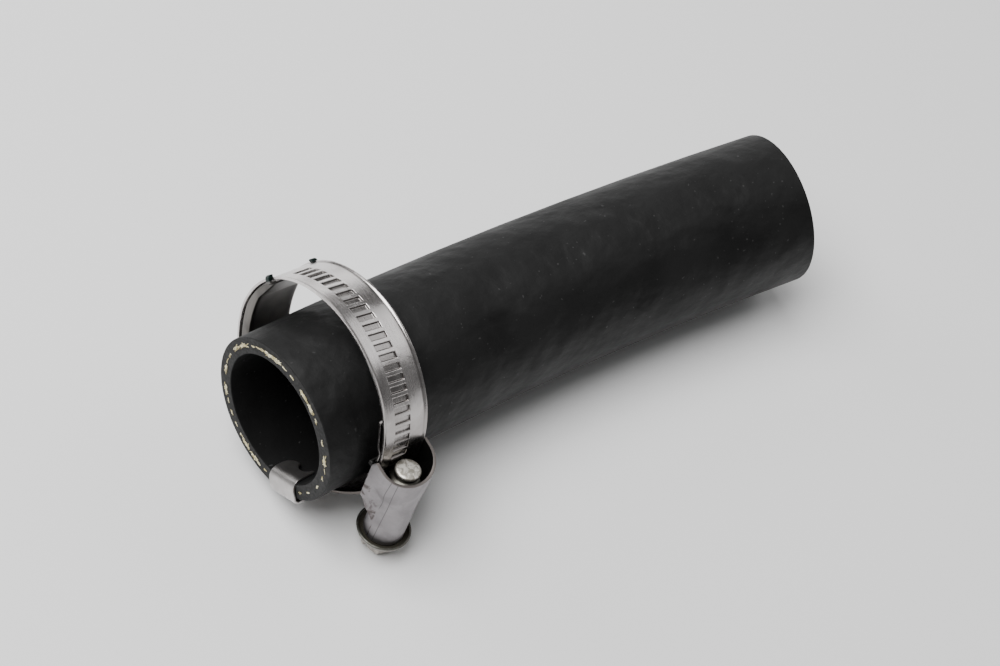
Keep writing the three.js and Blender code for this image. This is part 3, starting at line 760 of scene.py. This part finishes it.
def face_outwards():
    """Turns all faces of the active piece outwards."""
    bpy.ops.object.mode_set(mode="EDIT")
    bpy.ops.mesh.select_all(action="SELECT")
    bpy.ops.mesh.normals_make_consistent(inside=False)
    bpy.ops.object.mode_set(mode="OBJECT")


beside = -lug_gap - lug_thickness / 2
over = loop_outer + rim_lift + lug_gap + lug_thickness / 2
hook_corners = [(lug_root, insert_end), (beside, insert_end), (beside, over), (lug_reach, over - lug_droop)]
hook_line = BentLine(rounded([Vector(point) for point in hook_corners], lug_radii))
hook_finish = Finish("dark_green_ends", metallic=0.8, Roughness=0.35)
hook_along = hook_finish.axis(hook_finish.strip((100, 1, 1)), 0)
green_from = (hook_line.length - green_length) * 1000
green_part = hook_finish.ramp(hook_along, green_from - 0.1, green_from + 0.1)
hook_finish.set("Base Color", hook_finish.mix(green_part, lug_steel, lug_green))
hook_lengths = spread(0, hook_line.length, 40)
hook_widths = spread(-lug_width / 2, lug_width / 2, 4)
hooks = [insert]
for end in (-1, 1):
    for side in (1, -1):
        hook = flat_grid("hook", hook_lengths, hook_widths)
        for vertex in hook.data.vertices:
            vertex.co.z = lug_thickness / 2
        apply_modifier(hook, "SOLIDIFY", thickness=lug_thickness, offset=-1)
        apply_modifier(hook, "BEVEL", width=lug_bevel, segments=4, limit_method="ANGLE")
        out = polar(insert_middle + end * lug_angle, 1)
        root = Vector((0, 0, 0 if side > 0 else band_width))
        lay = placed(Vector((0, 0, side)), Vector((out.x, out.y, 0)), Vector((-out.y, out.x, 0)), root)
        wrap(hook, hook_line, loop_frame @ lay)
        hook.data.materials.append(hook_finish.material)
        hooks.append(hook)
join_to_first(hooks)
face_outwards()
bpy.ops.object.shade_smooth_by_angle(angle=math.radians(35))
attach(insert, "hose_and_clamp")
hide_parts("spring_insert")

# Housing
# Folded from one satin sheet: an arched hood with two walls beside the band, narrowing to the barrel that
# holds the screw's neck. Two tabs at the mouth are crimped under the saddle.
sheet = 0.0007
barrel_bore = 0.0084
barrel_start = 0.0154
barrel_end = 0.0225
barrel_radius = barrel_bore / 2 + sheet
wall_half = band_width / 2 + clearance + sheet
mouth_start = -0.003
mouth_setback = 0.003
mouth_skew = 0.0005
mouth_hem = 0.0011
flare_start = 0.003
flare_end = 0.010
hem_start = 0.0102
wing_end = 0.0178
wall_knee = 0.001
arch_base = 0.0021
hem_foot = 0.00035
hem_top = 0.00025
tab_start = -0.001
tab_length = 0.0012
tab_sheet = 0.0005
tab_reach = 0.0044
tab_round = 0.00018
sheet_round = 0.00012
barrel_play = 0.00004
web_play = 0.00005
barrel_facets = 72
crown_share = 0.4
knee_ease = (0.0004, 0.0002)
short_line_end = 0.0125
short_line_fade = 0.002
short_line_turns = (-0.28, -0.41)
long_line_end = 0.01925
long_line_turns = (-0.22, -0.32)
sheet_dim = (0.25, 0.235, 0.243, 1)
sheet_bright = (0.34, 0.322, 0.33, 1)
sheet_stain = (0.08, 0.06, 0.055, 1)
groove_shade_color = (0.06, 0.055, 0.058, 1)
screw_out = loop_outer + thread_radius - thread_grip
saddle_inner = saddle_middle - band_thickness / 2
out = polar(screw_angle, 1)
screw_way = polar(screw_angle + 90, 1)
housing_frame = loop_frame @ placed(
    Vector((out.x, out.y, 0)),
    Vector((screw_way.x, screw_way.y, 0)),
    Vector((0, 0, 1)),
    Vector((0, 0, band_width / 2)),
)


def blend(low, high, part):
    return low + (high - low) * part


def hood_point(along, turn):
    """A point of the hood's outer face, from one hem at -1 over the crown at 0 to the other hem at 1."""
    narrowing = smooth_step(along, flare_start, flare_end)
    half_width = blend(wall_half, barrel_radius, narrowing)
    base = blend(loop_outer + arch_base, screw_out, narrowing)
    crown = screw_out + barrel_radius
    knee = loop_outer + wall_knee
    rising = math.sqrt(part_way(along, hem_start, wing_end))
    cut_back = mouth_hem * (1 - part_way(along, mouth_start, tab_start))
    hem = blend(saddle_inner + hem_foot, screw_out - hem_top, rising) + cut_back
    side = math.copysign(1, turn)
    if abs(turn) > crown_share:
        up = blend(base, hem, (abs(turn) - crown_share) / (1 - crown_share))
        wide = blend(wall_half, half_width, smooth_step(up, knee - knee_ease[0], base + knee_ease[1]))
    else:
        angle = math.radians(90 * (1 - abs(turn) / crown_share))
        wide = half_width * math.cos(angle)
        up = base + (crown - base) * math.sin(angle)
    fade = 1 - part_way(along, mouth_start, flare_start)
    setback = mouth_setback * (up - saddle_inner) / (crown - saddle_inner)
    setback -= mouth_skew * side * wide / wall_half
    return Vector((up, along + setback * fade, side * wide))


hood_stations = spread(mouth_start, flare_start, 10)[:-1] + spread(flare_start, hem_start, 14)[:-1]
hood_stations += spread(hem_start, wing_end, 14) + spread(wing_end, barrel_end, 8)[1:]
turns = spread(-1, -crown_share, 12)
turns += spread(-crown_share, crown_share, 40)[1:] + spread(crown_share, 1, 12)[1:]
hood = flat_grid("screw_housing", hood_stations, turns)
flat_sheet = hood.data.uv_layers.new(name="strip")
for loop in hood.data.loops:
    spot = hood.data.vertices[loop.vertex_index].co
    flat_sheet.data[loop.index].uv = (spot.x * 1000, spot.y)
for vertex in hood.data.vertices:
    vertex.co = hood_point(vertex.co.x, vertex.co.y)
line_ends = {
    "short_line": (
        hood_point(mouth_start, short_line_turns[0]), hood_point(short_line_end, short_line_turns[1])
    ),
    "long_line": (
        hood_point(mouth_start, long_line_turns[0]), hood_point(long_line_end, long_line_turns[1])
    ),
}
for name, (start, end) in line_ends.items():
    middle = (start + end) / 2
    upright = middle - Vector((screw_out, middle.y, 0))
    square = (end - start).cross(upright).normalized()
    from_line = hood.data.attributes.new(name, "FLOAT", "POINT")
    for vertex, mark in zip(hood.data.vertices, from_line.data):
        mark.value = (vertex.co - start).dot(square) * 1000

satin_steel = Finish("satin_steel", metallic=1.0)
# The sheet's inner face and the crimped tabs get near-black steel, as painted shade.
inside_shade_steel = Finish("oily_inside", metallic=1.0, Roughness=0.5)
inside_shade_steel.set("Base Color", (0.035, 0.034, 0.033, 1))
cut_steel = Finish("cut_sheet_edge", metallic=1.0, Roughness=0.5)
cut_steel.set("Base Color", (0.2, 0.18, 0.17, 1))
for finish in (satin_steel, inside_shade_steel, cut_steel):
    hood.data.materials.append(finish.material)
apply_modifier(
    hood, "SOLIDIFY", thickness=sheet, offset=-1, use_even_offset=True,
    material_offset=1, material_offset_rim=2,
)
apply_modifier(
    hood, "BEVEL", width=sheet_round, segments=3, limit_method="ANGLE", angle_limit=math.radians(50)
)

bpy.ops.object.select_all(action="DESELECT")
bpy.ops.mesh.primitive_plane_add(size=1)
barrel = bpy.context.object
barrel.scale = (sheet - barrel_play, barrel_end - barrel_start - barrel_play, 1)
barrel.location = (barrel_radius - sheet / 2, (barrel_end + barrel_start) / 2, 0)
bpy.ops.object.transform_apply()
bpy.ops.object.mode_set(mode="EDIT")
bpy.ops.mesh.delete(type="ONLY_FACE")
bpy.ops.mesh.select_all(action="SELECT")
bpy.ops.mesh.bevel(offset=sheet_round, segments=3, affect="VERTICES")
spin_round(barrel_facets, (0, 1, 0), same_place / 10)
for vertex in barrel.data.vertices:
    vertex.co.x += screw_out
barrel.data.materials.append(satin_steel.material)

tab_foot = saddle_inner - clearance - tab_sheet
tab_middle = tab_start + tab_length / 2
web_height = saddle_middle - tab_foot


def crimped_block(height, reach, across):
    """A part of a tab that stands on the tab's foot, by its height, its reach and the place of its middle."""
    bpy.ops.mesh.primitive_cube_add(size=1)
    block = bpy.context.object
    block.scale = (height, tab_length, reach)
    block.location = (tab_foot + height / 2, tab_middle, across)
    bpy.ops.object.transform_apply()
    bpy.ops.object.mode_set(mode="EDIT")
    bpy.ops.mesh.select_all(action="SELECT")
    bpy.ops.mesh.bevel(offset=tab_round, segments=3)
    bpy.ops.object.mode_set(mode="OBJECT")
    # Painted near black, as painted shade under the saddle.
    block.data.materials.append(inside_shade_steel.material)
    return block


hood_parts = [hood, barrel]
for side in (-1, 1):
    hood_parts.append(crimped_block(tab_sheet, tab_reach, side * (wall_half - tab_reach / 2)))
    hood_parts.append(crimped_block(web_height, sheet - web_play, side * (wall_half - sheet / 2)))
join_to_first(hood_parts)
hood.data.transform(housing_frame)
face_outwards()
bpy.ops.object.shade_smooth_by_angle(angle=math.radians(40))

fine = satin_steel.noise(satin_steel.place(), 2400, detail=3)
patches = satin_steel.noise(satin_steel.place(), 210, detail=4, roughness=0.6, distortion=0.5)
flat_place = satin_steel.strip((1, 1, 1))
sheet_along = satin_steel.axis(flat_place, 0)
sheet_turn = satin_steel.axis(flat_place, 1)


def pressed_line(name):
    """1 on a fine straight line pressed into the near side of the sheet."""
    off = satin_steel.node("ShaderNodeMath", {"operation": "ABSOLUTE"}, {0: satin_steel.marked(name)})
    return (1 - satin_steel.ramp(off, 0.04, 0.12)) * satin_steel.ramp(sheet_turn * -1, 0.1, 0.15)


fade_from = (short_line_end - short_line_fade) * 1000
faded = satin_steel.ramp(sheet_along, fade_from, short_line_end * 1000)
short_line = pressed_line("short_line") * (1 - faded)
grooves = short_line + pressed_line("long_line")
stains = satin_steel.ramp(satin_steel.noise(satin_steel.place(), 330, detail=4, distortion=0.8), 0.5, 0.62)
stains = stains * satin_steel.ramp(sheet_turn * -1, 0.46, 0.56) * satin_steel.ramp(sheet_along, 3, 6) * 0.8
bare_sheet = satin_steel.mix(satin_steel.ramp(patches, 0.3, 0.7), sheet_dim, sheet_bright)
bare_sheet = satin_steel.mix(stains, bare_sheet, sheet_stain)
# The pressed lines are painted darker, as painted shade in their grooves.
satin_steel.set("Base Color", satin_steel.mix(grooves * 0.6, bare_sheet, groove_shade_color))
satin_steel.set("Roughness", 0.42 + fine * 0.1 + patches * 0.1)
satin_steel.bump(fine * 0.5 + patches * 0.8 - grooves * 0.8, 0.00006, 0.7)
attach(hood, "hose_and_clamp")
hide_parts("clamp_housing")

# Worm screw
# Turned from plated steel: a round tip, the worm, a neck in the barrel, a dished flange and a hexagon head
# with a slot. The worm's crests face the pockets.
thread_height = 0.0009
thread_crest = 0.0007
thread_root = 0.0015
thread_length = 0.0132
tip_radius = 0.00305
neck_radius = 0.0035
flange_radius = 0.00655
flange_lip = 0.0012
flange_rim = 0.0006
flange_thickness = 0.0007
cup_gap = 0.0006
hex_flats = 0.0086
hex_height = 0.0036
hex_turn = 17
head_round = 0.001
head_corner_round = 0.0008
head_taper = 0.3
slot_width = 0.0012
slot_depth = 0.0016
neck_ease = 0.0006
thread_sink = 0.0003
crest_round = 0.0001
cup_margin = 0.0001
screw_facets = 96
thread_facets = 48
tip_shine = 0.0007
rim_shine = 0.0004
shank_grease = 0.85
worm_grease = 0.8
tip_and_glint_dim = (0.45, 0.42, 0.36, 1)
tip_and_glint_bright = (0.95, 0.92, 0.85, 1)
plate_dim = (0.34, 0.31, 0.28, 1)
plate_bright = (0.48, 0.45, 0.4, 1)
cup_dull = (0.055, 0.05, 0.037, 1)
grease_dark = (0.03, 0.032, 0.026, 1)
core_radius = thread_radius - thread_height
neck_start = thread_start + thread_length + neck_ease
cup_floor = barrel_end + cup_gap
lip = cup_floor - flange_lip
flange_back = cup_floor + flange_thickness
head_end = flange_back + hex_height
hex_corner = hex_flats / math.sqrt(3)
rim_inside = flange_radius - flange_rim
# Each point is a distance from the screw's middle line and a distance along it.
profile = [
    (0, -0.00012), (0.0012, -0.0001), (tip_radius - 0.0006, 0), (tip_radius - 0.00025, 0.0001),
    (tip_radius - 0.00005, 0.0003), (tip_radius, 0.0006), (tip_radius, 0.001), (core_radius, 0.0013),
    (core_radius, neck_start - 0.0004), (neck_radius, neck_start), (neck_radius, cup_floor - 0.0002),
    (neck_radius + 0.0003, cup_floor), (rim_inside - 0.0011, cup_floor),
    (rim_inside - 0.0005, cup_floor - 0.00018), (rim_inside - 0.0002, barrel_end),
    (rim_inside + 0.00008, lip + 0.0002), (rim_inside + 0.0002, lip),
    (flange_radius - 0.00018, lip), (flange_radius - 0.00003, lip + 0.0001), (flange_radius, lip + 0.0003),
    (flange_radius - 0.00012, barrel_end), (flange_radius - 0.0004, cup_floor),
    (flange_radius - 0.0007, flange_back - 0.0001), (flange_radius - 0.0011, flange_back + 0.0005),
    (hex_corner, flange_back + 0.0009), (hex_corner - 0.0007, flange_back + 0.0012),
    (0, flange_back + 0.0012),
]
bpy.ops.object.select_all(action="DESELECT")
bpy.ops.mesh.primitive_plane_add(size=0.001)
shank = bpy.context.object
shank.name = "plated_screw"
bpy.ops.object.mode_set(mode="EDIT")
bpy.ops.mesh.merge(type="CENTER")
bpy.ops.object.mode_set(mode="OBJECT")
shank.data.vertices[0].co = (profile[0][0], profile[0][1], 0)
bpy.ops.object.mode_set(mode="EDIT")
bpy.ops.mesh.select_all(action="SELECT")
for before, after in zip(profile, profile[1:]):
    bpy.ops.mesh.extrude_region_move(
        TRANSFORM_OT_translate={"value": (after[0] - before[0], after[1] - before[1], 0)}
    )
spin_round(screw_facets, (0, 1, 0), same_place / 10)

grease = shank.data.attributes.new("grease", "FLOAT", "POINT")
bright_tip = shank.data.attributes.new("bright_tip", "FLOAT", "POINT")
dull_cup = shank.data.attributes.new("dull_cup", "FLOAT", "POINT")
for vertex, mark, glint, dull in zip(shank.data.vertices, grease.data, bright_tip.data, dull_cup.data):
    along = vertex.co.y
    radius = math.hypot(vertex.co.x, vertex.co.z)
    mark.value = float(tip_shine < along < barrel_end) * shank_grease
    if lip - cup_margin < along < flange_back and radius < rim_inside + cup_margin:
        mark.value = 0.0
        dull.value = 1.0
    # The flange's rim is painted bright, as a painted highlight; the tip's face is brighter zinc and also
    # partly a painted highlight.
    on_rim = radius > rim_inside and abs(along - lip) < rim_shine
    glint.value = float(along < tip_shine or on_rim)

bpy.ops.mesh.primitive_cylinder_add(vertices=6, radius=hex_corner, depth=hex_height)
head = bpy.context.object
select_edges(head.data, lambda a, b: min(a.z, b.z) > hex_height * 0.4)
bpy.ops.mesh.bevel(offset=head_round, segments=5)
select_edges(head.data, lambda a, b: abs(a.z - b.z) > hex_height * 0.5)
bpy.ops.mesh.bevel(offset=head_corner_round, segments=6)
bpy.ops.object.mode_set(mode="OBJECT")
for vertex in head.data.vertices:
    widest = hex_flats / 2 + (hex_height / 2 - vertex.co.z) * head_taper
    inwards = min(1, widest / max(math.hypot(vertex.co.x, vertex.co.y), 0.0001))
    vertex.co = (vertex.co.x * inwards, vertex.co.y * inwards, vertex.co.z)
head.data.transform(
    Matrix.Translation((0, (flange_back + head_end) / 2, 0))
    @ Matrix.Rotation(math.radians(hex_turn), 4, "Y")
    @ Matrix.Rotation(math.radians(-90), 4, "X")
)
bpy.ops.mesh.primitive_cube_add(size=1)
slot = bpy.context.object
slot.scale = (slot_width, slot_depth, 4 * hex_flats)
slot.location = (0, head_end - slot_depth / 2 + 0.00001, 0)
apply_modifier(head, "BOOLEAN", object=slot, operation="DIFFERENCE", solver="EXACT")
bpy.data.objects.remove(slot)

bpy.ops.object.select_all(action="DESELECT")
bpy.ops.mesh.primitive_plane_add(size=1)
worm = bpy.context.object
root = core_radius - thread_sink
half_root = thread_root * 0.6
half_crest = thread_crest / 2
ridge = ((root, -half_root), (thread_radius, -half_crest), (thread_radius, half_crest), (root, half_root))
order = sorted(range(4), key=lambda i: math.atan2(worm.data.vertices[i].co.y, worm.data.vertices[i].co.x))
for i, (radius, along) in zip(order, ridge):
    worm.data.vertices[i].co = (radius, thread_start + along, 0)
bpy.ops.object.mode_set(mode="EDIT")
bpy.ops.mesh.delete(type="ONLY_FACE")
bpy.ops.mesh.select_all(action="SELECT")
bpy.ops.mesh.bevel(offset=crest_round, segments=2, affect="VERTICES")
bpy.ops.object.mode_set(mode="OBJECT")
turns_of_thread = thread_length / thread_pitch
steps = int(thread_facets * turns_of_thread)
apply_modifier(
    worm, "SCREW", axis="Y", screw_offset=thread_length, angle=2 * math.pi * turns_of_thread,
    steps=steps, render_steps=steps, use_normal_calculate=True,
)
for mark in worm.data.attributes.new("grease", "FLOAT", "POINT").data:
    mark.value = worm_grease
phase = 2 * math.pi * (thread_start - (tail_length - first_pocket)) / thread_pitch
worm.data.transform(Matrix.Rotation(phase + math.pi, 4, "Y"))
join_to_first([shank, head, worm])
shank.data.transform(housing_frame @ Matrix.Translation((screw_out, 0, 0)))
bpy.ops.object.shade_smooth_by_angle(angle=math.radians(40))

plating = Finish("zinc_plating", metallic=1.0)
crystals = plating.noise(plating.place(), 800, detail=4, roughness=0.65, distortion=0.8)
bloom = plating.noise(plating.place(), 190, detail=2)
grease_mask = plating.marked("grease")
tip_and_glint_mask = plating.marked("bright_tip")
cup_mask = plating.marked("dull_cup")
spots = plating.ramp(crystals, 0.38, 0.62)
# Brighter colour for the tip, which is its own zinc plus a painted highlight, and for the flange's rim, which
# is a painted highlight.
tip_and_glint_color = plating.mix(spots, tip_and_glint_dim, tip_and_glint_bright)
head_color = plating.mix(spots, plate_dim, plate_bright)
clean_color = plating.mix(cup_mask, plating.mix(tip_and_glint_mask, head_color, tip_and_glint_color), cup_dull)
plating.set("Metallic", 1 - cup_mask * 0.8)
plating.set("Base Color", plating.mix(grease_mask, clean_color, grease_dark))
plating.set("Roughness", 0.26 + crystals * 0.12 + bloom * 0.08 + tip_and_glint_mask * 0.14 + cup_mask * 0.2)
plating.bump(crystals * (0.25 + tip_and_glint_mask * 0.5), 0.00006, 0.6)
shank.data.materials.append(plating.material)
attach(shank, "screw")
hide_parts("worm_screw")

# Retaining clip
# Bent from satin steel strip. It is hooked over the hose's end and back under the band, so that the loose
# clamp can't be lost from the hose. Its inner leg ends in a scoop.
clip_width = 0.009
clip_thickness = 0.0005
clip_stand_off = 0.0005
clip_inner_leg = 0.0055
clip_upper_corner = 0.0024
clip_corner = 0.0011
clip_hook_corner = 0.00095
clip_return = 0.0045
scoop_radius = 0.0024
scoop_offset = 0.0016
scoop_depth = 0.0017
scoop_run = 0.0045
clip_round = 0.003
clip_bevel = 0.00008
clip_dim = (0.46, 0.44, 0.43, 1)
clip_bright = (0.58, 0.56, 0.55, 1)
half = clip_thickness / 2
front = -clip_stand_off - half
inner_leg = math.sqrt(bore_radius ** 2 - (clip_width / 2) ** 2) - clearance - half
outer_leg = hose_radius + clearance + half
lean_drop = band_width * math.tan(math.radians(abs(band_lean[1])))
return_leg = hose_radius + seat_gap + band_thickness + rim_lift + lean_drop + clearance + half
hook_end = band_setback + band_width + rim_lift + 3 * clearance + half
clip_corners = [
    (clip_inner_leg, inner_leg), (front, inner_leg), (front, outer_leg),
    (hook_end, outer_leg), (hook_end, return_leg), (hook_end - clip_return, return_leg),
]
clip_radii = (clip_upper_corner, clip_corner, clip_hook_corner, clip_hook_corner)
clip_line = BentLine(rounded([Vector(point) for point in clip_corners], clip_radii))
clip_lengths = spread(0, scoop_run, 20)[:-1] + spread(scoop_run, clip_line.length, 190)
clip = flat_grid("spring_clip", clip_lengths, spread(-clip_width / 2, clip_width / 2, 48))
for vertex in clip.data.vertices:
    across = vertex.co.y
    end = 0.0
    from_scoop = abs(across + scoop_offset)
    if from_scoop < scoop_radius:
        end = max(end, math.sqrt(scoop_radius ** 2 - from_scoop ** 2) - (scoop_radius - scoop_depth))
    from_corner = across - (clip_width / 2 - clip_round)
    if from_corner > 0:
        end = max(end, clip_round - math.sqrt(max(clip_round ** 2 - from_corner ** 2, 0)))
    if vertex.co.x < scoop_run:
        vertex.co.x = blend(end, scoop_run, vertex.co.x / scoop_run)
    vertex.co.z = half
apply_modifier(clip, "SOLIDIFY", thickness=clip_thickness, offset=-1)
apply_modifier(
    clip, "BEVEL", width=clip_bevel, segments=2, limit_method="ANGLE", angle_limit=math.radians(50)
)
clip_side = hose_side(clip_angle)
clip_frame = placed(hose_along, clip_side, hose_along.cross(clip_side), hose_start)
wrap(clip, clip_line, clip_frame)
face_outwards()
bpy.ops.object.shade_smooth_by_angle(angle=math.radians(40))

clip_steel = Finish("satin_strip_steel", metallic=1.0)
clip_grain = clip_steel.noise(clip_steel.strip((500, 20, 1)), 1.0, detail=3)
clip_clouds = clip_steel.noise(clip_steel.place(), 260, detail=2)
clip_steel.set("Base Color", clip_steel.mix(clip_steel.ramp(clip_clouds, 0.3, 0.7), clip_dim, clip_bright))
clip_steel.set("Roughness", 0.26 + clip_grain * 0.14)
clip_steel.bump(clip_grain * 0.6 + clip_clouds * 0.4, 0.00004, 0.5)
clip.data.materials.append(clip_steel.material)
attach(clip, "hose_and_clamp")
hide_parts("retaining_clip")
